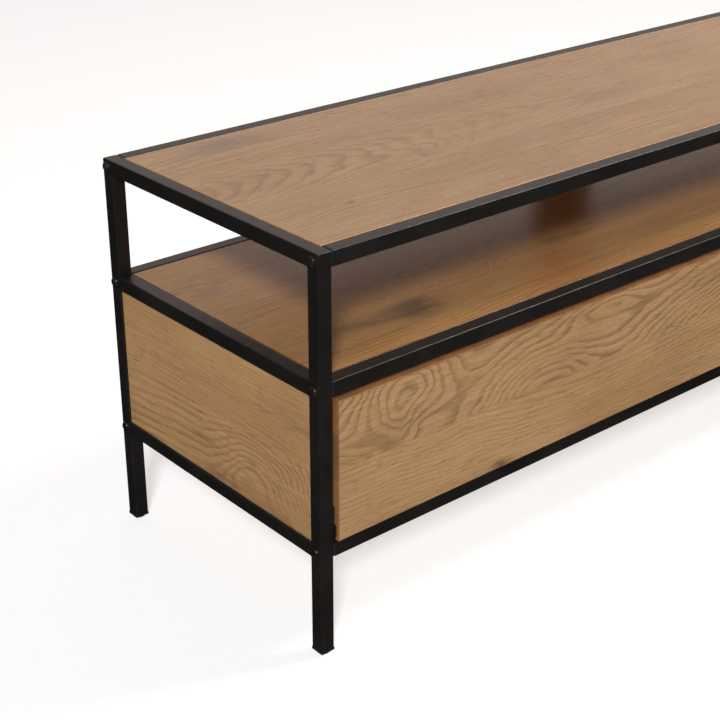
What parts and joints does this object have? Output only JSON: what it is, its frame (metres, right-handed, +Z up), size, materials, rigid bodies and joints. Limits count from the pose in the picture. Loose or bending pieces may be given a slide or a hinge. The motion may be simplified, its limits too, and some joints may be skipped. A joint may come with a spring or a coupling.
{
  "type": "tv stand with doors",
  "caption": "Low media stand: bolted square-tube steel frame, inset oak boards, open bay over a cabinet closed by flap doors with push latches",
  "frame": {"origin": "on the floor, in the middle of the stand's outline", "axes": "+X along the stand to the viewer's right when facing the doors, -Y is the front, +Z is up"},
  "size_m": [1.607, 0.4056, 0.489],
  "materials": {
    "frame_steel": "fine matt black powder coat",
    "oak_board": "warm brown wild oak decor with knots, open pores and a satin lacquer",
    "oak_edging": "brown oak edge band, satin",
    "black_hardware": "black oxide, slightly shiny",
    "black_plastic": "black moulded plastic",
    "beech_dowel": "plain fluted beech",
    "zinc_steel": "bright zinc plate"
  },
  "bodies": {
    "stand": {"back_bottom_rail": "frame_steel", "back_panel": "oak_board", "back_shelf_rail": "frame_steel", "back_top_rail": "frame_steel", "centre_divider": "oak_board", "centre_pivot_bracket": "black_hardware", "centre_support": "oak_board", "divider_screws": "zinc_steel", "dowels": "beech_dowel", "edge_screws": "zinc_steel", "floor_panel": "oak_board", "floor_panel_tabs": "frame_steel", "foot_glides": "black_plastic", "foot_plugs": "black_plastic", "frame_bolts": "black_hardware", "front_bottom_rail": "frame_steel", "front_shelf_rail": "frame_steel", "front_top_rail": "frame_steel", "latch_screws": "zinc_steel", "left_back_leg": "frame_steel", "left_bottom_side_rail": "frame_steel", "left_front_leg": "frame_steel", "left_latch_housing": "black_plastic", "left_latch_spring": "zinc_steel", "left_shelf_side_rail": "frame_steel", "left_side_panel": "oak_board", "left_top_side_rail": "frame_steel", "leg_pivot_brackets": "black_hardware", "pivot_bracket_screws": "zinc_steel", "pivot_pins": "zinc_steel", "rail_inserts": "black_plastic", "right_back_leg": "frame_steel", "right_bottom_side_rail": "frame_steel", "right_front_leg": "frame_steel", "right_latch_housing": "black_plastic", "right_latch_spring": "zinc_steel", "right_shelf_side_rail": "frame_steel", "right_side_panel": "oak_board", "right_top_side_rail": "frame_steel", "shelf_panel": "oak_board", "shelf_panel_tabs": "frame_steel", "tab_screws": "zinc_steel", "top_panel": "oak_board", "top_panel_tabs": "frame_steel"},
    "left_door": {"left_door_bushes": "black_plastic", "left_door_edging": "oak_edging", "left_door_panel": "oak_board", "left_door_stop_pins": "zinc_steel", "left_strike_plate": "zinc_steel"},
    "right_door": {"right_door_bushes": "black_plastic", "right_door_edging": "oak_edging", "right_door_panel": "oak_board", "right_door_stop_pins": "zinc_steel", "right_strike_plate": "zinc_steel"},
    "left_plunger": {"left_latch_plunger": "black_plastic"},
    "right_plunger": {"right_latch_plunger": "black_plastic"}
  },
  "joints": [
    {"name": "left_door_hinge", "type": "hinge", "parent": "stand", "child": "left_door", "pos_m": [-0.39, -0.1948, 0.158], "axis": [1, 0, 0], "range_deg": [0, 90]},
    {"name": "right_door_hinge", "type": "hinge", "parent": "stand", "child": "right_door", "pos_m": [0.39, -0.1948, 0.158], "axis": [1, 0, 0], "range_deg": [0, 90]},
    {"name": "left_latch_press", "type": "slide", "parent": "stand", "child": "left_plunger", "axis": [0, 1, 0], "range_m": [0, 0.0025], "stiffness_N_per_m": 800, "springref_m": -0.002, "deforming": ["left_latch_spring"]},
    {"name": "right_latch_press", "type": "slide", "parent": "stand", "child": "right_plunger", "axis": [0, 1, 0], "range_m": [0, 0.0025], "stiffness_N_per_m": 800, "springref_m": -0.002, "deforming": ["right_latch_spring"]}
  ]
}
